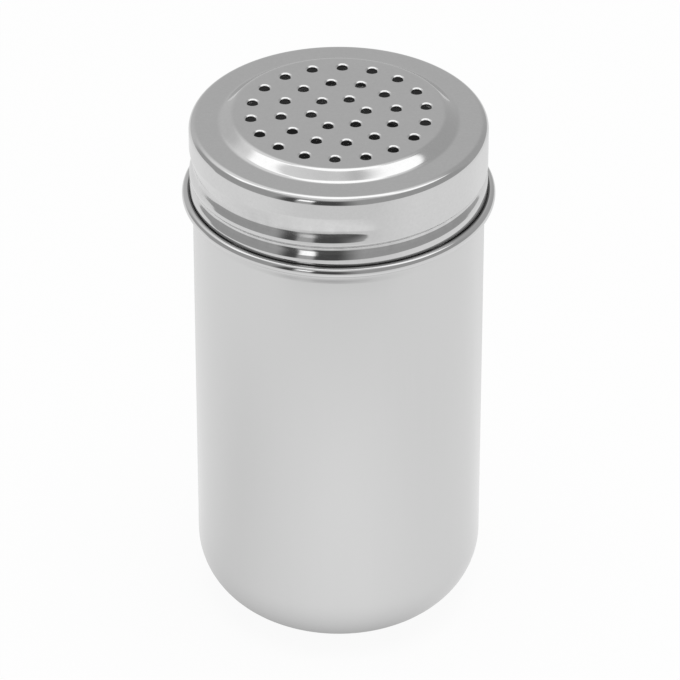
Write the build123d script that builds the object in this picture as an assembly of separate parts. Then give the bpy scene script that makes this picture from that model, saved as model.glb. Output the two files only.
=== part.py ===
from build123d import *

import os
from math import cos, hypot, radians, sin, sqrt

# Shaker for spices in stainless steel sheet: a deep-drawn cup with a curled rim, a threaded
# neck ring gripped inside the rim, and a pierced lid that screws down over the ring.
# All sizes are millimetres. The origin is the middle of the base and +Z runs up the axis.

# Cup, measured on the outside of the sheet
cup_radius = 33.0  # straight wall
cup_sheet = 0.6
base_bend = 16.0  # bend between the flat base and the wall
rim_height = 108.5  # middle of the curl
rim_reach = 2.4  # outermost reach of the curl beyond the straight wall
curl_radius = 1.2  # the curl's round section
flare_angle = 47.0  # slope of the wall below the curl, from level
crimp_depth = 0.18  # how far the wall is pressed in to grip the neck ring
crimp_drop = 3.82  # foot of the crimp below the middle of the curl
crimp_slope = 1.1  # height of the crimp's sloping shoulder

# Lid, measured on the outside of the sheet
lid_cover = 0.65  # straight skirt beyond the inner edge of the curl
lid_sheet = 0.6
lid_height = 18.5  # flat ring of the lid above the middle of the curl
lid_edge = 1.8  # bend between the flat ring and the skirt
hem_clearance = 0.12  # skirt's lower edge clear of the curl
disc_radius = 23.3  # flat of the raised disc
disc_rise = 2.05  # raised disc above the flat ring
step_bend = 2.1  # both bends of the step round the disc
step_angle = 35.0  # slope of the step, from level

# Holes in the raised disc, in rings of 6, 12 and 18
hole_radius = 1.2
hole_edge = 0.5  # width of the slope that the punch leaves round each hole
hole_slope = 0.3  # depth of that slope
hole_rings = 3
first_ring = 6.2
disc_margin = 3.5  # last ring of holes in from the edge of the disc's flat
holes_per_ring = 6  # in the first ring, and as many more in each next one
hole_turn = 7.6  # degrees from +X to the first hole of each ring

# Thread, one right-hand start, rolled into the skirt and into the neck ring
thread_pitch = 4.45
thread_turns = 1.29
thread_depth = 1.0  # root of the skirt's groove below the outside of the skirt
thread_rise = 4.24  # groove's root at its lower end, above the middle of the curl
thread_end = -73.0  # degrees from +X to the upper end
thread_lead = 16.0  # degrees over which each end runs out to the plain wall
groove_rise = 0.8  # upper flank of the groove
groove_fall = 2.5  # from the root down to the foot of the lower flank
floor_depth = 0.9  # lower end of the groove's floor
floor_fall = 0.75

# Neck ring, measured on the outside of the sheet
neck_sheet = 0.5
ring_fit = 0.05  # ring inside the crimp
sleeve_drop = 10.9  # lower end of the ring below the middle of the curl
neck_step_drop = 0.57  # where the ring starts to step in, below the middle of the curl
neck_step_rise = 1.1  # height of that step
crest_clearance = 0.3  # thread crests of ring and skirt, so that the lid lifts straight off
crest_height = 0.65  # the ring's thread above its wall
crest_half = 0.35  # half the crest's width
foot_half = 1.15  # half the width of the thread's foot
crest_lead = 1.9  # the ring's crest above the root of the skirt's groove

overlap = 0.4  # how far a cutting shape reaches past a surface
weld = 0.1  # how far a joining shape reaches into the sheet that it joins
run_out = 0.05  # how far a thread's end sinks past the plain wall

rim_radius = cup_radius + rim_reach
curl_centre = rim_radius - curl_radius
crimp_radius = cup_radius - crimp_depth
lid_radius = curl_centre - curl_radius + lid_cover
lid_top = rim_height + lid_height
disc_top = lid_top + disc_rise
ring_pitch = (disc_radius - disc_margin - first_ring) / (hole_rings - 1)
neck_top = lid_top - lid_sheet
crest_radius = lid_radius - thread_depth - lid_sheet - crest_clearance
neck_radius = crest_radius - crest_height
sleeve_radius = crimp_radius - cup_sheet - ring_fit
thread_height = thread_pitch * thread_turns
root_start = rim_height + thread_rise
start_angle = thread_end - 360 * thread_turns


def polar(centre, radius, angle):
    """Point at a radius and an angle in degrees round a centre in the profile plane."""
    return centre[0] + radius * cos(radians(angle)), centre[1] + radius * sin(radians(angle))


def turned(outer, inner, end=None):
    """Solid of revolution of the sheet between two outlines that run from axis or top to edge."""
    end = end or Line(outer @ 1, inner @ 1)
    start = Line(outer @ 0, inner @ 0)
    face = make_face([*outer.edges(), *inner.edges(), start, end])
    return revolve(Plane.XZ * face, Axis.Z)


def stretch(first, last, start, turn):
    """Sweep one section into another up the thread's helix, from an angle past its lower end."""
    climb = thread_pitch * turn / 360
    ends = [Plane.XZ * first, Pos(0, 0, climb) * Rot(0, 0, turn) * (Plane.XZ * last)]
    path = Helix(thread_pitch, climb, lid_radius)
    foot = Pos(0, 0, root_start + thread_pitch * start / 360) * Rot(0, 0, start_angle + start)
    return foot * sweep(ends, path, multisection=True, is_frenet=True)


def wound(full, faded):
    """Thread of a full section whose two ends fade out into the plain wall."""
    level = 360 * thread_turns - 2 * thread_lead
    return [
        stretch(faded, full, 0, thread_lead),
        stretch(full, full, thread_lead, level),
        stretch(full, faded, thread_lead + level, thread_lead),
    ]


def cup_line(depth):
    """Outline of the cup at a depth below its outside, from the middle of the base to the curl."""
    bend = (cup_radius - base_bend, base_bend)
    crimp_foot = rim_height - crimp_drop
    slope = radians(flare_angle)
    # The flare ends inside the curl, under its middle.
    below = curl_radius / 2
    tip = (curl_centre - depth * sin(slope), rim_height - below + depth * cos(slope))
    wall = crimp_radius - depth
    flare_foot = (wall, tip[1] - (tip[0] - wall) * sin(slope) / cos(slope))
    return Wire([
        Line((0, depth), (bend[0], depth)),
        CenterArc(bend, base_bend - depth, -90, 90),
        Line((cup_radius - depth, base_bend), (cup_radius - depth, crimp_foot)),
        Line((cup_radius - depth, crimp_foot), (wall, crimp_foot + crimp_slope)),
        Line((wall, crimp_foot + crimp_slope), flare_foot),
        Line(flare_foot, tip),
    ])


def make_cup():
    """Drawn cup with its crimp and flare, and the curl closed tight round its own edge."""
    wall = turned(cup_line(0), cup_line(cup_sheet))
    curl = Pos(0, 0, rim_height) * Torus(curl_centre, curl_radius)
    return wall + curl


def hem_height():
    """Height of the skirt's lower edge, where its round edge clears the curl."""
    across = curl_centre - (lid_radius - lid_sheet / 2)
    apart = curl_radius + hem_clearance + lid_sheet / 2
    return rim_height + sqrt(max(apart**2 - across**2, 0)) - lid_sheet / 2


def lid_line(depth):
    """Outline of the lid at a depth below its outside, from the middle of the disc to the skirt."""
    upper = (disc_radius, disc_top - step_bend)
    slope = radians(step_angle)
    straight = (disc_rise - 2 * step_bend * (1 - cos(slope))) / sin(slope)
    foot_radius = disc_radius + 2 * step_bend * sin(slope) + straight * cos(slope)
    lower = (foot_radius, lid_top + step_bend)
    edge = (lid_radius - lid_edge, lid_top - lid_edge)
    skirt = lid_radius - depth
    return Wire([
        Line((0, disc_top - depth), (disc_radius, disc_top - depth)),
        CenterArc(upper, step_bend - depth, 90, -step_angle),
        Line(polar(upper, step_bend - depth, 90 - step_angle),
             polar(lower, step_bend + depth, 270 - step_angle)),
        CenterArc(lower, step_bend + depth, 270 - step_angle, step_angle),
        Line((foot_radius, lid_top - depth), (edge[0], lid_top - depth)),
        CenterArc(edge, lid_edge - depth, 90, -90),
        Line((skirt, edge[1]), (skirt, hem_height() + lid_sheet / 2)),
    ])


def groove_section(depth, sheet, outside):
    """Section of the skirt's thread, with its root at a depth in the skirt and at height 0.

    Without a sheet this is the groove's own outline, and with one the outline of the ridge
    inside, which lies that sheet's thickness behind the groove's flanks and floor.
    """
    rise = groove_rise / thread_depth
    fall = (groove_fall - floor_fall) / floor_depth
    root = lid_radius - depth
    floor = lid_radius - depth * floor_depth / thread_depth
    return make_face(Polyline(
        (outside, (outside - root) * rise + sheet * hypot(1, rise)),
        (root - sheet, sheet * (hypot(1, rise) - rise)),
        (floor - sheet, -floor_fall - sheet * (hypot(1, fall) - fall)),
        (outside, -floor_fall - (outside - floor) * fall - sheet * hypot(1, fall)),
        close=True,
    ))


def skirt_thread(sheet, outside):
    """Stretches of the skirt's groove, or of the ridge inside it if they lie behind a sheet."""
    full = groove_section(thread_depth, sheet, outside)
    return wound(full, groove_section(-run_out, sheet, outside))


def punch():
    """Shape that a punch leaves: a straight hole with a sloping upper edge, under height 0."""
    far = hole_radius + hole_edge
    return revolve(Plane.XZ * make_face(Polyline(
        (0, overlap),
        (far, overlap),
        (far, 0),
        (hole_radius, -hole_slope),
        (hole_radius, -lid_sheet - overlap),
        (0, -lid_sheet - overlap),
        close=True,
    )), Axis.Z)


def punches():
    """One punch for each hole of the raised disc."""
    places = []
    for ring in range(hole_rings):
        radius = first_ring + ring * ring_pitch
        places += PolarLocations(radius, holes_per_ring * (ring + 1), hole_turn).locations
    return [Pos(0, 0, disc_top) * place * punch() for place in places]


def make_lid():
    """Pressed lid with its raised, pierced disc and the thread rolled into its skirt."""
    outer, inner = lid_line(0), lid_line(lid_sheet)
    hem = ThreePointArc(outer @ 1, (lid_radius - lid_sheet / 2, hem_height()), inner @ 1)
    lid = turned(outer, inner, hem)
    for ridge in skirt_thread(lid_sheet, lid_radius - lid_sheet + weld):
        lid += ridge
    for groove in skirt_thread(0, lid_radius + overlap):
        lid -= groove
    return lid - punches()


def neck_line(depth):
    """Outline of the neck ring at a depth below its outside, from its mouth down to its sleeve."""
    step_top = rim_height - neck_step_drop + neck_step_rise
    return Wire([
        Line((neck_radius - depth, neck_top), (neck_radius - depth, step_top)),
        Line((neck_radius - depth, step_top),
             (sleeve_radius - depth, rim_height - neck_step_drop)),
        Line((sleeve_radius - depth, rim_height - neck_step_drop),
             (sleeve_radius - depth, rim_height - sleeve_drop)),
    ])


def crest_section(tip, base):
    """Section of the ring's thread, from a base radius out to its tip, narrowing outwards."""
    slope = (foot_half - crest_half) / crest_height
    base_half = crest_half + (tip - base) * slope
    return make_face(Polyline(
        (base, crest_lead + base_half),
        (tip, crest_lead + crest_half),
        (tip, crest_lead - crest_half),
        (base, crest_lead - base_half),
        close=True,
    ))


def neck_thread(wall, depth):
    """Stretches of the ring's thread on a wall of a radius, reaching a depth into that wall."""
    full = crest_section(wall + crest_height, wall - depth)
    return wound(full, crest_section(wall - run_out, wall - depth))


def make_neck_ring():
    """Neck ring with its thread rolled outwards, so that its inside has the matching groove."""
    ring = turned(neck_line(0), neck_line(neck_sheet))
    for crest in neck_thread(neck_radius, weld):
        ring += crest
    for hollow in neck_thread(neck_radius - neck_sheet, overlap):
        ring -= hollow
    return ring


os.makedirs("parts", exist_ok=True)
export_step(make_cup(), "parts/body_shell.step")
export_step(make_neck_ring(), "parts/neck_ring.step")
export_step(make_lid(), "parts/lid.step")
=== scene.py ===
from math import cos, radians, sin, tan

import bmesh
import bpy
import numpy as np
from mathutils.geometry import delaunay_2d_cdt
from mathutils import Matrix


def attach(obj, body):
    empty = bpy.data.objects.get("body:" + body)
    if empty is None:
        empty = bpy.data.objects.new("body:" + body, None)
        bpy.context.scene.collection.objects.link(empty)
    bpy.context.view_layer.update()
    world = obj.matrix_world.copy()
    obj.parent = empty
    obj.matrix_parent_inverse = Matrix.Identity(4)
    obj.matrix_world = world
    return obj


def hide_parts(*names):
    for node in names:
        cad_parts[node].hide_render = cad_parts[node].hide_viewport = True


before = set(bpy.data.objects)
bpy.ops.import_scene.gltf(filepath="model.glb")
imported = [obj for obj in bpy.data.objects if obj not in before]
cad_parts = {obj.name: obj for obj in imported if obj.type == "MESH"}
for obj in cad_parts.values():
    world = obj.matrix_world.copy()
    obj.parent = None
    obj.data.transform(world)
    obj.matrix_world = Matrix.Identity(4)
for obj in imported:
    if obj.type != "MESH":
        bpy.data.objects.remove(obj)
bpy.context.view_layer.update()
scene = bpy.context.scene
mm = 0.001

# ---- Camera ----
# A long lens that looks down on the shaker from the front. It is aimed at a point of the
# shaker's axis, a little above its middle.
view_elevation = 33.749
view_distance = 1163.855 * mm
view_height = 67.781 * mm
lens_length = 267.49
lens_shift = 0.00195
sensor_width = 36.0

camera = bpy.data.objects.new("camera", bpy.data.cameras.new("camera"))
camera.data.lens = lens_length
camera.data.sensor_width = sensor_width
camera.data.shift_x = lens_shift
away = view_distance * cos(radians(view_elevation))
above = view_distance * sin(radians(view_elevation))
camera.location = (0, -away, view_height + above)
camera.rotation_euler = (radians(90 - view_elevation), 0, 0)
scene.collection.objects.link(camera)
scene.camera = camera

# ---- Cup ----
# A cup drawn from one blank of stainless steel sheet, with its rim curled outwards and closed.
# Under the curl the wall is pressed in by a crimp that grips the neck ring. The drawing die
# leaves a satin wall with very fine upright lines.
cup_radius = 33.0 * mm
cup_sheet = 0.6 * mm
base_bend = 16.0 * mm
base_hub = 8.0 * mm  # radius of the flat middle of the base, which has no rows
rim_height = 108.5 * mm
curl_centre = 34.2 * mm
curl_radius = 1.2 * mm
flare_angle = radians(47.0)
flare_bend = 0.3 * mm
crimp_depth = 0.18 * mm
crimp_foot = 104.68 * mm
crimp_top = 105.78 * mm
crimp_bend = 0.8 * mm
crimp_wall = cup_radius - crimp_depth
flare_foot = rim_height - curl_radius / 2 - (curl_centre - crimp_wall) * tan(flare_angle)

cup_columns = 360
curl_rows = 60
base_gap = 3.0 * mm  # widest gap between two rows of the mesh, here on the base
wall_gap = 4.0 * mm
crimp_gap = 0.5 * mm
flare_gap = 1.0 * mm
weld_reach = 0.002 * mm

satin_grey = 0.62
satin_roughness = 0.17
drawn_grain = (900, 900, 30)  # grains of the drawing lines to a metre of x, y and z
drawn_shade = 0.02
drawn_rough = 0.02
drawn_depth = 0.0002 * mm
blotch_grain = (60, 60, 25)
blotch_shade = 0.02
blotch_rough = 0.03
noise_roughness = 0.55  # share that each finer grain has in a noise
curl_roughness = 0.08
curl_fade = 1.0 * mm  # rise over which the flare takes the curl's roughness
seam_painted_shade = 0.7  # painted shade: share of the grey taken away in the seam under the lid's hem
seam_rough = 0.3
seam_edge = 0.1 * mm
seam_rise = 0.2 * mm
# Painted glow inside the shaker, in place of the light that bounces about in there
painted_inside_glow = 0.012
inside_fade = 4.0 * mm  # rise from the base's bend over which the glow sets in


def rounded(corners, step=5.0):
    """Outline through corners of (radius, height, bend, gap), as an array of (radius, height).

    Each corner is replaced by the arc of its bend that touches both of its sides. The arc's
    centre lies bend / sin(opening / 2) from the corner on its middle line, and the arc has a
    point every step degrees, or three at least. The side after a corner has points at most
    its gap apart.
    """
    runs = [np.array([corners[0][:2]])]
    for before, here, after in zip(corners, corners[1:], corners[2:]):
        corner = np.array(here[:2])
        bend = here[2]
        if bend == 0:
            runs.append(corner[None])
            continue
        back = np.array(before[:2]) - corner
        ahead = np.array(after[:2]) - corner
        back /= np.linalg.norm(back)
        ahead /= np.linalg.norm(ahead)
        opening = np.arccos(np.clip(back @ ahead, -1, 1))
        turn = np.pi - opening
        middle = (back + ahead) / np.linalg.norm(back + ahead)
        across = ahead - (ahead @ middle) * middle
        across /= np.linalg.norm(across)
        centre = corner + middle * bend / np.sin(opening / 2)
        count = max(3, int(np.degrees(turn) / step) + 2)
        angle = np.linspace(-0.5, 0.5, count)[:, None] * turn
        runs.append(centre - bend * (np.cos(angle) * middle - np.sin(angle) * across))
    runs.append(np.array([corners[-1][:2]]))
    outline = []
    for run, following, (*_, gap) in zip(runs, runs[1:], corners):
        span = following[0] - run[-1]
        inserts = int(np.linalg.norm(span) / gap)
        share = np.arange(1, inserts + 1)[:, None] / (inserts + 1)
        outline += [run, run[-1] + share * span]
    return np.concatenate([*outline, runs[-1]])


def circle(radius, columns, turn=0.0):
    """Even points on a circle round the axis, the first at a turn: radius times (cos, sin)."""
    angle = np.radians(turn + np.linspace(0, 360, columns, endpoint=False))
    return radius * np.stack([np.cos(angle), np.sin(angle)], 1)


def round_axis(outline, columns):
    """Grid of an outline's points carried round the axis: each radius times a circle of 1."""
    x, y = circle(1, columns).T
    radius, height = outline[:, :1], outline[:, 1:]
    return np.stack([radius * x, radius * y, height + 0 * x], -1)


def grid_faces(rows, columns, first=0, closed=False):
    """Four-cornered faces of a grid whose last column joins its first, as does its last row
    if it is closed. With rows that climb the outside and columns that go round, they face out."""
    row = np.arange(rows if closed else rows - 1)[:, None]
    column = np.arange(columns)[None, :]
    here, above = row * columns, (row + 1) % rows * columns
    beside = (column + 1) % columns
    corners = [here + column, here + beside, above + beside, above + column]
    return (np.stack(corners, -1).reshape(-1, 4) + first).tolist()


def fan_faces(pole, first, columns, upwards):
    """Triangles that face up or down, between a pole and the row of points from first on."""
    here = first + np.arange(columns)
    beside = np.roll(here, -1)
    sides = (here, beside) if upwards else (beside, here)
    return np.stack([*sides, np.full(columns, pole)], -1).tolist()


def add_piece(name, points, faces, finish, mark=None):
    """Object of a smooth mesh from points and faces, with its doubled points merged.

    A mark, which is one value for each point, is stored with the points if it is given.
    """
    mesh = bpy.data.meshes.new(name)
    mesh.from_pydata(np.asarray(points).reshape(-1, 3).tolist(), [], faces)
    if mark is not None:
        stored = mesh.attributes.new("mark", "FLOAT", "POINT")
        stored.data.foreach_set("value", mark.astype(np.float32).ravel())
    whole = bmesh.new()
    whole.from_mesh(mesh)
    bmesh.ops.remove_doubles(whole, verts=whole.verts, dist=weld_reach)
    bmesh.ops.recalc_face_normals(whole, faces=whole.faces)
    whole.to_mesh(mesh)
    whole.free()
    mesh.polygons.foreach_set("use_smooth", np.ones(len(mesh.polygons), bool))
    mesh.materials.append(finish)
    piece = bpy.data.objects.new(name, mesh)
    scene.collection.objects.link(piece)
    return piece


class Wire:
    """Output socket of a shader node. Sums, products and the like of wires add Math nodes."""

    def __init__(self, socket):
        self.socket = socket

    def node(self, kind, settings=None, inputs=None, output=0):
        """Output of a new node in the same shader, whose settings are made before its sockets."""
        tree = self.socket.id_data
        made = tree.nodes.new("ShaderNode" + kind)
        for name, value in (settings or {}).items():
            setattr(made, name, value)
        for name, value in (inputs or {}).items():
            if isinstance(value, Wire):
                tree.links.new(value.socket, made.inputs[name])
            else:
                made.inputs[name].default_value = value
        return Wire(made.outputs[output]) if made.outputs else None

    def math(self, operation, *values):
        """Result of an operation on wires and numbers."""
        return self.node("Math", {"operation": operation}, dict(enumerate(values)))

    def __add__(self, other):
        return self.math("ADD", self, other)

    def __sub__(self, other):
        return self.math("SUBTRACT", self, other)

    def __rsub__(self, other):
        return self.math("SUBTRACT", other, self)

    def __mul__(self, other):
        return self.math("MULTIPLY", self, other)

    __radd__ = __add__
    __rmul__ = __mul__


def new_shader(owner):
    """Wire of the Object coordinates in a material's or a world's shader, emptied first."""
    owner.use_nodes = True
    owner.node_tree.nodes.clear()
    return Wire(owner.node_tree.nodes.new("ShaderNodeTexCoord").outputs["Object"])


def stretched_noise(place, grain, detail=3.0):
    """Noise from 0 to 1 with a number of grains to a metre on each axis."""
    drawn = place.node("Mapping", inputs={"Vector": place, "Scale": grain})
    inputs = {"Vector": drawn, "Scale": 1.0, "Detail": detail, "Roughness": noise_roughness}
    return place.node("TexNoise", inputs=inputs)


def varied(middle, *noises):
    """A middle value that each (noise, amount) raises and lowers by up to half its amount."""
    for noise, amount in noises:
        middle = middle + amount * (noise - 0.5)
    return middle


def grey(value):
    """Colour wire of one grey from a value wire."""
    return value.node("CombineColor", inputs={"Red": value, "Green": value, "Blue": value})


def axis_distance(place):
    """Distance of each point from the shaker's axis."""
    flat = place.node("VectorMath", {"operation": "MULTIPLY"}, {0: place, 1: (1, 1, 0)})
    return place.node("VectorMath", {"operation": "LENGTH"}, {0: flat}, output="Value")


def height_above_base(place):
    """Height of each point above the shaker's base."""
    return place.node("SeparateXYZ", inputs={0: place}, output="Z")


def straight_rise(value, start, end):
    """0 where a wire is at a start, 1 at an end and past it, with a straight rise between."""
    inputs = {"Value": value, "From Min": start, "From Max": end}
    return value.node("MapRange", {"clamp": True}, inputs)


def steel(finish, place, shade, roughness, height, inside):
    """Bare steel: a shade and roughness that vary, and a height that stands up in metres.

    Inside the shaker it has a faint painted glow, which stands in for the light that bounces
    about in there.
    """
    bump = place.node("Bump", inputs={"Strength": 1.0, "Distance": 1.0, "Height": height})
    skin = place.node("BsdfPrincipled", inputs={
        "Base Color": grey(shade), "Roughness": roughness, "Metallic": 1.0, "Normal": bump,
        "Emission Color": grey(painted_inside_glow * inside), "Emission Strength": 1.0,
    })
    place.node("OutputMaterial", inputs={"Surface": skin})
    return finish


def satin_steel():
    """Satin steel of the cup, with upright lines from drawing and faint blotches.

    Flare and curl are smoother. The curl's inner side, in the seam under the lid's hem, is dull,
    and painted shade darkens it there.
    """
    finish = bpy.data.materials.new("satin_steel")
    place = new_shader(finish)
    lines = stretched_noise(place, drawn_grain)
    blotches = stretched_noise(place, blotch_grain, detail=2.0)
    reach = axis_distance(place)
    height = height_above_base(place)
    # Painted shade in the seam under the lid's hem, which is also made duller
    seam = straight_rise(reach, curl_centre, curl_centre - seam_edge)
    seam = seam * straight_rise(height, rim_height, rim_height + seam_rise)
    shade = satin_grey * varied(1.0, (lines, drawn_shade), (blotches, blotch_shade))
    shade = shade * (1 - seam_painted_shade * seam)
    smooth = straight_rise(height, flare_foot, flare_foot + curl_fade)
    roughness = varied(satin_roughness, (lines, drawn_rough), (blotches, blotch_rough))
    roughness = roughness + (curl_roughness - satin_roughness) * smooth + seam_rough * seam
    # Where the cup has its painted inside glow
    inside = straight_rise(reach, cup_radius - cup_sheet / 3, cup_radius - 2 * cup_sheet / 3)
    inside = inside * straight_rise(height, base_bend, base_bend + inside_fade)
    return steel(finish, place, shade, roughness, drawn_depth * lines, inside)


def curl_meeting(depth):
    """Point of the curl that a face of the flare runs into, at a depth below its outside.

    The outside passes half a curl radius under the curl's middle. From the middle the point
    lies apart from it across the face and then back down the slope to the circle.
    """
    apart = curl_radius / 2 * cos(flare_angle) - depth
    back = np.sqrt(curl_radius**2 - apart**2)
    return (curl_centre + apart * sin(flare_angle) - back * cos(flare_angle),
            rim_height - apart * cos(flare_angle) - back * sin(flare_angle))


def curl_angle(radius, height):
    """Angle in degrees at the curl's middle of a point of the curl."""
    return np.degrees(np.arctan2(height - rim_height, radius - curl_centre))


curl_start = curl_meeting(0)
curl_end = curl_meeting(cup_sheet)
cup_outside = rounded([
    (base_hub, 0, 0, base_gap),
    (cup_radius, 0, base_bend, wall_gap),
    (cup_radius, crimp_foot, crimp_bend, crimp_gap),
    (crimp_wall, crimp_top, crimp_bend, crimp_gap),
    (crimp_wall, flare_foot, flare_bend, flare_gap),
    (*curl_start, 0, flare_gap),
])
curl_turn = np.radians(np.linspace(curl_angle(*curl_start), curl_angle(*curl_end) + 360, curl_rows))
cup_curl = np.stack([
    curl_centre + curl_radius * np.cos(curl_turn),
    rim_height + curl_radius * np.sin(curl_turn),
], 1)
inner_wall = cup_radius - cup_sheet
inner_crimp = crimp_wall - cup_sheet
cup_inside = rounded([
    (*curl_end, 0, flare_gap),
    (inner_crimp, flare_foot + cup_sheet * tan(flare_angle / 2), flare_bend, flare_gap),
    (inner_crimp, crimp_top, crimp_bend, crimp_gap),
    (inner_wall, crimp_foot, crimp_bend, wall_gap),
    (inner_wall, cup_sheet, base_bend - cup_sheet, base_gap),
    (base_hub, cup_sheet, 0, base_gap),
])
cup_grid = round_axis(np.concatenate([cup_outside[:-1], cup_curl, cup_inside[1:]]), cup_columns)
cup_rows = len(cup_grid)
cup_points = np.concatenate([cup_grid.reshape(-1, 3), [[0, 0, 0], [0, 0, cup_sheet]]])
outer_pole = cup_rows * cup_columns
last_row = outer_pole - cup_columns
cup_faces = grid_faces(cup_rows, cup_columns)
cup_faces += fan_faces(outer_pole, 0, cup_columns, upwards=False)
cup_faces += fan_faces(outer_pole + 1, last_row, cup_columns, upwards=True)
cup = add_piece("cup", cup_points, cup_faces, satin_steel())
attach(cup, "shaker_body")
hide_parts("body_shell")

# ---- Neck ring ----
# A ring of thinner stainless steel sheet that stands up out of the rim and carries the lid. Its
# thread is rolled outwards, and its lower sleeve is gripped inside the crimp.
thread_pitch = 4.45 * mm
thread_turns = 1.29
thread_rise = thread_pitch * thread_turns
thread_end = -73.0  # angle of the upper end in degrees from +X, which grows as it rises
thread_start = thread_end - 360 * thread_turns
helix_foot = rim_height + 4.24 * mm  # height of the helix at its start
fade_angle = 16.0  # angle over which the thread fades out at both ends
soft_fade_angle = 30.0  # what is added to it at a rise over the helix
soft_fade_rise = 4.5 * mm
neck_radius = 31.1 * mm
neck_sheet = 0.5 * mm
neck_top = 126.4 * mm
neck_step = rim_height - 0.57 * mm
neck_step_top = neck_step + 1.1 * mm
neck_bend = 0.6 * mm
neck_lip = 0.2 * mm  # bend of the ring's upper and lower edges
sleeve_radius = 32.17 * mm
sleeve_end = rim_height - 10.9 * mm
crest_height = 0.65 * mm
crest_middle = 1.9 * mm  # height of the crest's middle over the helix
crest_half = 0.35 * mm
crest_foot_half = 1.15 * mm
crest_round = 0.2 * mm
crest_low = helix_foot + crest_middle - crest_foot_half
crest_high = helix_foot + crest_middle + thread_rise + crest_foot_half

ring_columns = 256
neck_gap = 2.0 * mm
step_gap = 0.5 * mm
crest_gap = 0.2 * mm
lip_gap = 1.0 * mm
mean_count = 7  # number of heights in the mean that rounds a section

bright_grey = 0.6
bright_roughness = 0.16
rolled_grain = (30, 30, 3500)
rolled_shade = 0.04
rolled_rough = 0.04
rolled_depth = 0.001 * mm
cloud_grain = (120, 120, 90)
cloud_shade = 0.04
cloud_rough = 0.04
inside_edge = 0.1 * mm


def smooth_rise(value, start, end):
    """0 up to a start, 1 from an end on, and a smooth rise between them: s s (3 - 2 s)."""
    share = np.clip((value - start) / (end - start), 0, 1)
    return share * share * (3 - 2 * share)


def thread_relief(grid, section):
    """Relief of the thread at each point of a grid, from the section that its roller presses.

    A point at an angle lies beside one or two turns of the helix, whose height grows by the
    pitch each turn. The relief is the section at the point's height over the helix, times a
    smooth rise from 0 at both ends of the thread, which is longer above the helix than on it.
    """
    angle = np.degrees(np.arctan2(grid[..., 1], grid[..., 0]))
    relief = np.zeros(angle.shape)
    for lap in (0, 1):
        along = angle - 360 * lap
        helix = helix_foot + thread_pitch * (along - thread_start) / 360
        height = grid[..., 2] - helix
        from_end = np.minimum(along - thread_start, thread_end - along)
        fade = fade_angle + soft_fade_angle * smooth_rise(height, 0, soft_fade_rise)
        relief = np.maximum(relief, section(height, along) * smooth_rise(from_end, 0, fade))
    return relief


def averaged(section, height, reach):
    """Mean of a section over a reach up and down from each height, which rounds its corners."""
    offsets = np.linspace(-reach, reach, mean_count)
    return sum(section(height + offset) for offset in offsets) / mean_count


def crest_section(height, along):
    """Ring's crest over the helix, the same all along it: a narrow top and sloping sides."""
    across = np.array([-crest_foot_half, -crest_half, crest_half, crest_foot_half])
    depths = [0, crest_height, crest_height, 0]
    return averaged(lambda up: np.interp(up, crest_middle + across, depths), height, crest_round)


def moved_out(grid, relief):
    """Grid with its points moved away from the axis by a relief."""
    radius = np.hypot(grid[..., 0], grid[..., 1])
    return grid * np.stack([1 + relief / radius, 1 + relief / radius, 1 + 0 * relief], -1)


def bright_steel():
    """Bright rolled steel of the neck ring, with fine lines that run round it."""
    finish = bpy.data.materials.new("bright_steel")
    place = new_shader(finish)
    lines = stretched_noise(place, rolled_grain)
    clouds = stretched_noise(place, cloud_grain, detail=2.0)
    shade = bright_grey * varied(1.0, (lines, rolled_shade), (clouds, cloud_shade))
    roughness = varied(bright_roughness, (lines, rolled_rough), (clouds, cloud_rough))
    # Where the ring has its painted inside glow
    inside = straight_rise(axis_distance(place), neck_radius, neck_radius - inside_edge)
    return steel(finish, place, shade, roughness, rolled_depth * lines, inside)


inner_neck = neck_radius - neck_sheet
inner_sleeve = sleeve_radius - neck_sheet
sleeve_middle = sleeve_radius - neck_sheet / 2
ring_outline = rounded([
    (sleeve_middle, sleeve_end, 0, lip_gap),
    (sleeve_radius, sleeve_end, neck_lip, neck_gap),
    (sleeve_radius, neck_step, neck_bend, step_gap),
    (neck_radius, neck_step_top, neck_bend, neck_gap),
    (neck_radius, crest_low, 0, crest_gap),
    (neck_radius, crest_high, 0, neck_gap),
    (neck_radius, neck_top, neck_lip, lip_gap),
    (inner_neck, neck_top, neck_lip, neck_gap),
    (inner_neck, crest_high, 0, crest_gap),
    (inner_neck, crest_low, 0, neck_gap),
    (inner_neck, neck_step_top, neck_bend, step_gap),
    (inner_sleeve, neck_step, neck_bend, neck_gap),
    (inner_sleeve, sleeve_end, neck_lip, lip_gap),
    (sleeve_middle, sleeve_end, 0, lip_gap),
])
ring_grid = round_axis(ring_outline[:-1], ring_columns)
ring_grid = moved_out(ring_grid, thread_relief(ring_grid, crest_section))
ring_faces = grid_faces(len(ring_grid), ring_columns, closed=True)
ring = add_piece("neck_ring_rolled", ring_grid, ring_faces, bright_steel())
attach(ring, "shaker_body")
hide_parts("neck_ring")

# ---- Lid ----
# One pressing of stainless steel sheet, polished: a raised disc with punched holes, a flat
# ring, a rounded edge and a skirt into which the thread is rolled from outside. It screws down
# over the neck ring until its hem stands inside the curl.
lid_radius = 33.65 * mm
lid_sheet = 0.6 * mm
lid_top = 127.0 * mm
lid_edge = 1.8 * mm
lid_hem = 109.58 * mm
hem_flat = 0.002 * mm  # what the hem's two bends leave flat between them
hem_bend = (lid_sheet - hem_flat) / 2
disc_radius = 23.3 * mm
disc_top = 129.05 * mm
step_bend = 2.1 * mm
step_angle = radians(35.0)
flat_margin = 0.3 * mm
flat_radius = disc_radius - flat_margin
inner_skirt = lid_radius - lid_sheet
inner_top = lid_top - lid_sheet
inner_disc = disc_top - lid_sheet

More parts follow.
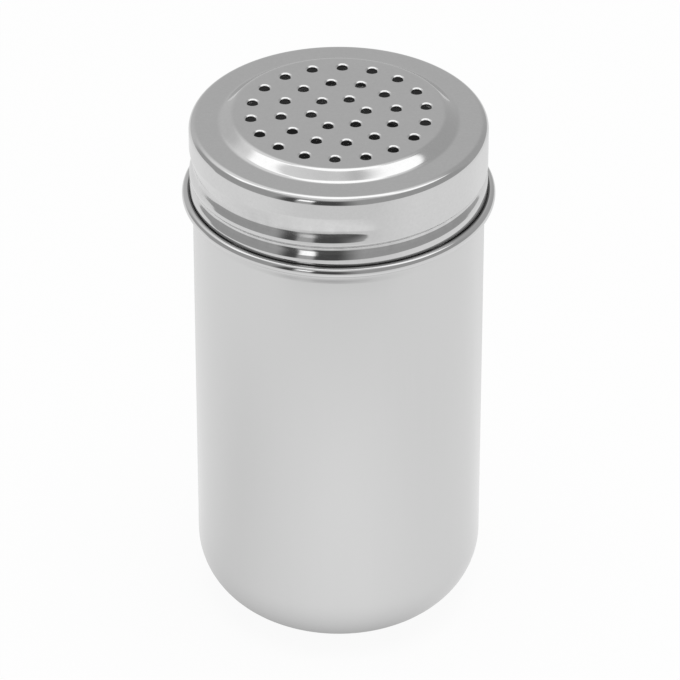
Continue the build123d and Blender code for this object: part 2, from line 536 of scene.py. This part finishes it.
hole_radius = 1.2 * mm
hole_edge = 0.4 * mm  # width of the slope that the punch leaves round each hole
hole_slope = 0.24 * mm  # depth of that slope
hole_bend = 0.1 * mm
hole_burr = 0.06 * mm
hole_margin = 0.15 * mm
hole_opening = hole_radius + hole_edge + hole_margin
hole_rings = [(6, 6.2 * mm), (12, 13.0 * mm), (18, 19.8 * mm)]
hole_turn = 7.6

groove_depth = 1.0 * mm
groove_rise = 1.0 * mm  # height of the upper flank, low on the thread
soft_rise = 3.6 * mm  # the same near the thread's upper end
soft_loss = 0.15  # share of the depth that is lost there
soft_start = -300.0  # angle where the upper flank starts to spread
soft_end = -180.0  # angle from which it stays spread
floor_fall = 0.75 * mm  # heights below the helix of the lower flank's corners
floor_depth = 0.9 * mm
flank_fall = 1.75 * mm
flank_depth = 0.33 * mm
groove_fall = 2.5 * mm
crease = 0.13 * mm
thread_ceiling = helix_foot + thread_rise + soft_rise

lid_columns = 360
hole_columns = 32
under_gap = 2.0 * mm
top_gap = 1.0 * mm
groove_gap = 0.16 * mm
inner_groove_gap = 0.6 * mm
hole_step = 20.0
flat_weld = 1e-7  # points of the flat that are no further apart are one

polished_grey = 0.62
polished_roughness = 0.075
turned_grain = 4000  # grains of the turning lines to a metre
turned_shade = 0.02
turned_rough = 0.02
turned_depth = 0.0004 * mm
wave_grain = (150, 150, 150)
wave_shade = 0.04
wave_rough = 0.03
skin_grain = (1400, 1400, 1400)
skin_shade = 0.1
streak_grain = (420, 420, 15)
streak_shade = 0.3
streak_depth = 0.008 * mm
groove_painted_shade = 0.05  # painted shade: share of the grey taken away at the groove's full depth
pressed_rough = 0.02
upper_rough = 0.08
upper_start = 113.5 * mm  # heights between which the pressed steel turns duller
upper_end = 115.5 * mm


def groove_section(height, along):
    """Skirt's groove under the helix: a short upper flank, a floor and a long lower flank.

    The depth runs straight between the corners below the helix, and the upper flank takes it
    away again over its rise. Towards the upper end of the thread that rise grows from a short
    to a soft one and the groove gets shallower.
    """
    spread = np.clip((along - soft_start) / (soft_end - soft_start), 0, 1)
    rise = groove_rise + (soft_rise - groove_rise) * spread
    places = [-groove_fall, -flank_fall, -floor_fall, 0]
    depths = [0, flank_depth, floor_depth, groove_depth]

    def flanks(up):
        return np.interp(up, places, depths) - groove_depth * np.clip(up / rise, 0, 1)

    return averaged(flanks, height, crease) * (1 - soft_loss * spread)


def pierced_flat(holes):
    """Flat of the disc with a round opening at each hole, as points and triangles.

    Circles of points round the disc and the openings are joined by a Delaunay triangulation
    that keeps their sides, and the triangles inside the openings are left out.
    """
    loops = [circle(flat_radius, lid_columns)]
    loops += [hole + circle(hole_opening, hole_columns) for hole in holes]
    sides = []
    first = 0
    for loop in loops:
        here = first + np.arange(len(loop))
        sides += np.stack([here, np.roll(here, -1)], 1).tolist()
        first += len(loop)
    flat = np.concatenate(loops).tolist()
    points, _, faces, *_ = delaunay_2d_cdt(flat, sides, [], 0, flat_weld)
    points, faces = np.array(points), np.array(faces)
    middles = points[faces].mean(1)
    apart = np.linalg.norm(middles[:, None] - holes[None], axis=-1).min(1)
    return points, faces[apart > hole_opening]


def polished_steel():
    """Polished steel of the lid, with faint turning lines and a skin that is slightly wavy.

    Where the roller pressed the thread in, it has fine upright streaks and is duller, most of
    all on the thread's upper turn. There painted shade makes it darker with the groove's depth.
    """
    finish = bpy.data.materials.new("polished_steel")
    place = new_shader(finish)
    reach = axis_distance(place)
    height = height_above_base(place)
    lines = place.node("TexNoise", {"noise_dimensions": "1D"}, {
        "W": turned_grain * (reach + height), "Scale": 1.0, "Detail": 3.0,
    })
    waves = stretched_noise(place, wave_grain)
    skin = stretched_noise(place, skin_grain, detail=2.0)
    streaks = stretched_noise(place, streak_grain, detail=2.0)
    pressed = place.node("Attribute", {"attribute_name": "mark"}, output="Fac")
    upper = straight_rise(height, upper_start, upper_end)
    shade = varied(1.0, (lines, turned_shade), (waves, wave_shade), (skin, skin_shade))
    # Painted shade in the groove: darker with its depth and uneven in fine upright streaks
    shade = polished_grey * shade * (1 - pressed * varied(groove_painted_shade, (streaks, streak_shade)))
    roughness = varied(polished_roughness, (lines, turned_rough), (waves, wave_rough))
    roughness = roughness + pressed * (pressed_rough + upper_rough * upper)
    relief = turned_depth * lines + streak_depth * pressed * streaks
    # Where the lid has its painted inside glow
    inside = straight_rise(reach, inner_skirt + inside_edge, inner_skirt)
    inside = inside * straight_rise(height, inner_top + inside_edge, inner_top)
    return steel(finish, place, shade, roughness, relief, inside)


bend_shift = tan(step_angle / 2)  # how far a bend of 1 moves the corner of the step
upper_corner = disc_radius + step_bend * bend_shift
lower_corner = upper_corner + (disc_top - lid_top) / tan(step_angle)
sheet_shift = lid_sheet * bend_shift
lid_outline = rounded([
    (flat_radius, inner_disc, 0, under_gap),
    (upper_corner - sheet_shift, inner_disc, step_bend - lid_sheet, under_gap),
    (lower_corner - sheet_shift, inner_top, step_bend + lid_sheet, under_gap),
    (inner_skirt, inner_top, lid_edge - lid_sheet, under_gap),
    (inner_skirt, thread_ceiling, 0, inner_groove_gap),
    (inner_skirt, lid_hem, hem_bend, top_gap),
    (lid_radius, lid_hem, hem_bend, groove_gap),
    (lid_radius, thread_ceiling, 0, top_gap),
    (lid_radius, lid_top, lid_edge, top_gap),
    (lower_corner, lid_top, step_bend, top_gap),
    (upper_corner, disc_top, step_bend, top_gap),
    (flat_radius, disc_top, 0, top_gap),
])
lid_grid = round_axis(lid_outline, lid_columns)
radius, height = lid_outline.T
on_skirt = (radius > inner_skirt - weld_reach) & (height < thread_ceiling)
groove = thread_relief(lid_grid, groove_section) * on_skirt[:, None]
lid_grid = moved_out(lid_grid, -groove)

holes = np.concatenate([circle(radius, count, hole_turn) for count, radius in hole_rings])
flat_points, flat_faces = pierced_flat(holes)
hole_outline = rounded([
    (hole_opening, 0, 0, top_gap),
    (hole_radius + hole_edge, 0, hole_bend, top_gap),
    (hole_radius, -hole_slope, hole_bend, top_gap),
    (hole_radius, -lid_sheet, hole_burr, top_gap),
    (hole_opening, -lid_sheet, 0, top_gap),
], hole_step)
hole_grid = round_axis(hole_outline, hole_columns)

lid_points = [lid_grid.reshape(-1, 3)]
lid_faces = grid_faces(len(lid_grid), lid_columns)
lid_count = groove.size
for level, order in ((disc_top, 1), (inner_disc, -1)):
    lid_points.append(np.column_stack([flat_points, np.full(len(flat_points), level)]))
    lid_faces += (flat_faces[:, ::order] + lid_count).tolist()
    lid_count += len(flat_points)
for hole in holes:
    lid_points.append((hole_grid + [*hole, disc_top]).reshape(-1, 3))
    lid_faces += grid_faces(len(hole_grid), hole_columns, lid_count)
    lid_count += hole_grid.size // 3
pressed = np.zeros(lid_count)
pressed[:groove.size] = groove.ravel() / groove_depth
lid = add_piece("lid_pressed", np.concatenate(lid_points), lid_faces, polished_steel(), pressed)
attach(lid, "lid")
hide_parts("lid")

# ---- Studio ----
# A white table under a soft lamp, inside a tent of glowing cloth. Steel shows what stands round
# it, so the tent has a bright ceiling with a lamp, a box of light at each side, grey walls, and
# a dark gap with one window where the camera looks in.
table_radius = 2.4
table_hub = 10 * mm
table_rows = 90
tent_radius = 2.2
tent_foot = -8.0
tent_rows = 200
tent_columns = 240

# Shades are multiples of white. Angles are in degrees, to the right of the camera and up from
# level. Two of them say where a change starts and ends, and four say where a patch starts, is
# full, starts to end and has ended.
front_wall = 0.44
right_wall = 0.5
right_wall_sides = (98, 112)
left_wall = 0.67
left_wall_sides = (-121, -135)
back_wall = 0.6
back_wall_sides = (140, 178)
gap_shade = 0.09
gap_sides = (-48, -37, -3, 18)
gap_rises = (50, 36)
window_sides = (-32, -29, -20, -17)
window_rises = (16.5, 19.5, 36.5, 39.5)
sill_shade = 0.5
sill_rises = (20, 16)
box_shade = 1.6
left_box_sides = (-122, -112, -97, -87)
left_box_rises = (40, 47, 70, 78)
right_box_sides = (50, 88, 108, 113)
right_box_slope = ((60, 105), (58, 45))  # sides, and the rise of the box's lower edge there
right_box_edge = (-4, 2)  # angles over that edge
lamp_shade = 1.6
lamp_tilt = 8.0
lamp_edge = (19, 15)  # angles from the lamp's middle
# At each side of the ceiling: the rises where it starts and where it is full, and its shade.
ceiling = np.array([
    (-180, 44, 80, 1.0),
    (-150, 24, 66, 1.1),
    (-125, 20, 40, 1.0),
    (-105, 30, 46, 1.0),
    (-80, 50, 62, 0.95),
    (-40, 50, 64, 0.86),
    (0, 44, 62, 0.86),
    (40, 52, 64, 0.7),
    (90, 54, 64, 1.1),
    (120, 48, 60, 1.0),
    (180, 44, 80, 1.0),
])

table_shade = 0.98
table_edge = ((-180, -112, -98, 20, 60, 180), (3, 3, 0.46, 0.46, 1.3, 3))  # sides, distances
edge_fade = (0.8, 1.25)  # shares of that distance
close_reach = (180 * mm, 90 * mm)
front_gain = 0.09
front_gain_side = 5
front_gain_width = 40
left_loss = 0.07
left_loss_side = -72
left_loss_width = 25
front_loss = 0.12
front_loss_sides = (60, 20)
front_loss_reach = (170 * mm, 230 * mm)
back_right_loss = 0.18
back_right_sides = (125, 165)
back_left_loss = 0.13
back_left_sides = (-120, -165)
# Painted shadow of the shaker's foot on the table, seen in reflections: the share it takes away,
# less at the right
foot_painted_shadow = 0.5
foot_painted_shadow_right = 0.3
foot_right_sides = (20, 70)
foot_radius = 25 * mm
foot_fade = 9 * mm

board_grey = 0.9
shadow_share = 0.07  # share of the board's look that is lit and takes shadows
soft_lamp_size = 1.2
soft_lamp_power = 12.0
soft_lamp_place = (0.1, -0.1, 1.5)
sky_light = 0.5  # shade of the sky as a light, where to the eye it is white


def patch(value, places):
    """1 between the second and third of four places, and 0 outside the first and last."""
    return smooth_rise(value, *places[:2]) * (1 - smooth_rise(value, *places[2:]))


def mixed(shade, other, share):
    """One shade turned into another by a share from 0 to 1."""
    return shade + (other - shade) * share


def bell(value, middle, width):
    """1 at a middle, falling to both sides as exp(-d d), where d is in widths."""
    return np.exp(-((value - middle) / width) ** 2)


def tent_glow(side, rise):
    """Brightness of the tent at an angle to the right of the camera and an angle up from level.

    Each part is mixed over the ones before it: walls, gap, window, ceiling, boxes, and last
    the lamp, which is all that lies within an angle of a line that leans back from upright.
    """
    wall = mixed(front_wall, right_wall, smooth_rise(side, *right_wall_sides))
    wall = mixed(wall, left_wall, smooth_rise(side, *left_wall_sides))
    wall = mixed(wall, back_wall, smooth_rise(np.abs(side), *back_wall_sides))
    wall = mixed(wall, gap_shade, patch(side, gap_sides) * smooth_rise(rise, *gap_rises))
    window = patch(side, window_sides)
    wall = mixed(wall, sill_shade, window * smooth_rise(rise, *sill_rises))
    wall = mixed(wall, box_shade, window * patch(rise, window_rises))
    ceiling_start, ceiling_full, ceiling_shade = [
        np.interp(side, ceiling[:, 0], column) for column in ceiling.T[1:]
    ]
    glow = mixed(wall, ceiling_shade, smooth_rise(rise, ceiling_start, ceiling_full))
    left_box = patch(side, left_box_sides) * patch(rise, left_box_rises)
    over_edge = rise - np.interp(side, *right_box_slope)
    right_box = patch(side, right_box_sides) * smooth_rise(over_edge, *right_box_edge)
    glow = mixed(glow, box_shade, np.maximum(left_box, right_box))
    tilt = radians(lamp_tilt)
    level, up = np.cos(np.radians(rise)), np.sin(np.radians(rise))
    towards = up * cos(tilt) - level * np.cos(np.radians(side)) * sin(tilt)
    from_lamp = np.degrees(np.arccos(np.clip(towards, -1, 1)))
    return mixed(glow, lamp_shade, smooth_rise(from_lamp, *lamp_edge))


def table_glow(side, reach):
    """Brightness of the table in reflections, by the angle from the camera and the distance.

    The table's shade gains in front and loses at the left close to the shaker, and loses
    further out in front and behind: painted light and shade on the table. A painted shadow of
    the shaker's foot takes a share away that falls off as an exponential. Past the table's edge,
    near in front and at the left, the tent's foot shows.
    """
    close = smooth_rise(reach, *close_reach)
    shade = table_shade + front_gain * close * bell(side, front_gain_side, front_gain_width)
    shade = shade - left_loss * close * bell(side, left_loss_side, left_loss_width)
    front = smooth_rise(np.abs(side), *front_loss_sides)
    shade = shade - front_loss * front * smooth_rise(reach, *front_loss_reach)
    shade = shade - back_right_loss * smooth_rise(side, *back_right_sides)
    shade = shade - back_left_loss * smooth_rise(side, *back_left_sides)
    # Painted shadow round the shaker's foot
    foot_shadow_share = mixed(foot_painted_shadow, foot_painted_shadow_right, smooth_rise(side, *foot_right_sides))
    shade = shade * (1 - foot_shadow_share * np.minimum(1, np.exp((foot_radius - reach) / foot_fade)))
    past_edge = smooth_rise(reach / np.interp(side, *table_edge), *edge_fade)
    return mixed(shade, tent_glow(side, 0 * side), past_edge)


def seen_rays(place):
    """1 for rays from the camera, a reflection or clear glass, and 0 for those of light."""
    kinds = ("Is Camera Ray", "Is Glossy Ray", "Is Transmission Ray")
    camera_rays, glossy_rays, clear_rays = [place.node("LightPath", output=kind) for kind in kinds]
    return camera_rays + glossy_rays + clear_rays


def white_table():
    """White board, white to the eye; reflections see its stored glow. It takes a soft shadow."""
    finish = bpy.data.materials.new("white_table")
    place = new_shader(finish)
    direct = place.node("LightPath", output="Is Camera Ray")
    glow = place.node("Attribute", {"attribute_name": "mark"}, output="Fac")
    shade = glow * (1 - direct) + direct
    board = place.node("BsdfDiffuse", inputs={"Color": (board_grey, board_grey, board_grey, 1)})
    light = place.node("Emission", inputs={"Color": grey(shade), "Strength": 1.0})
    share = (1 - shadow_share) * seen_rays(place)
    surface = place.node("MixShader", inputs={0: share, 1: board, 2: light})
    place.node("OutputMaterial", inputs={"Surface": surface})
    return finish


def tent_cloth():
    """Cloth of the tent, which glows by the brightness stored at its points."""
    finish = bpy.data.materials.new("tent_cloth")
    place = new_shader(finish)
    glow = place.node("Attribute", {"attribute_name": "mark"}, output="Fac")
    light = place.node("Emission", inputs={"Color": grey(glow), "Strength": 1.0})
    place.node("OutputMaterial", inputs={"Surface": light})
    finish.cycles.emission_sampling = "NONE"
    return finish


def add_stage(name, points, faces, finish, glow):
    """Object that isn't part of the shaker, with a glow stored at each point."""
    piece = add_piece(name, points, faces, finish, glow)
    return piece


def to_side(side):
    """Level directions at angles to the right of the camera: x = sine, y = minus cosine."""
    return np.sin(np.radians(side)), -np.cos(np.radians(side))


sides = np.linspace(-180, 180, tent_columns, endpoint=False)
side, reach = np.meshgrid(sides, np.geomspace(table_hub, table_radius, table_rows))
across, along = to_side(side)
table_grid = np.stack([reach * across, reach * along, 0 * reach], -1)
table_points = np.concatenate([table_grid.reshape(-1, 3), [[0, 0, 0]]])
table_faces = fan_faces(len(table_points) - 1, 0, tent_columns, upwards=True)
table_faces += np.flip(grid_faces(table_rows, tent_columns), 1).tolist()
board_glow = np.append(table_glow(side, reach), table_shade)
add_stage("table", table_points, table_faces, white_table(), board_glow)

side, rise = np.meshgrid(sides, np.linspace(tent_foot, 90, tent_rows))
across, along = to_side(side)
level, up = np.cos(np.radians(rise)), np.sin(np.radians(rise))
tent_grid = tent_radius * np.stack([level * across, level * along, up], -1)
tent_grid[..., 2] += lid_top
tent_faces = grid_faces(tent_rows, tent_columns)
tent = add_stage("tent", tent_grid, tent_faces, tent_cloth(), tent_glow(side, rise))
tent.visible_camera = False
tent.visible_diffuse = False
tent.visible_transmission = False
tent.visible_volume_scatter = False
tent.visible_shadow = False

lamp = bpy.data.objects.new("soft_lamp", bpy.data.lights.new("soft_lamp", "AREA"))
lamp.data.shape = "DISK"
lamp.data.size = soft_lamp_size
lamp.data.energy = soft_lamp_power
lamp.location = soft_lamp_place
lamp.visible_glossy = False
scene.collection.objects.link(lamp)

world = bpy.data.worlds.new("studio")
place = new_shader(world)
sky_shade = sky_light + (1 - sky_light) * seen_rays(place)
sky = place.node("Background", inputs={"Color": grey(sky_shade), "Strength": 1.0})
place.node("OutputWorld", inputs={"Surface": sky})
scene.world = world

scene.view_settings.view_transform = "Standard"
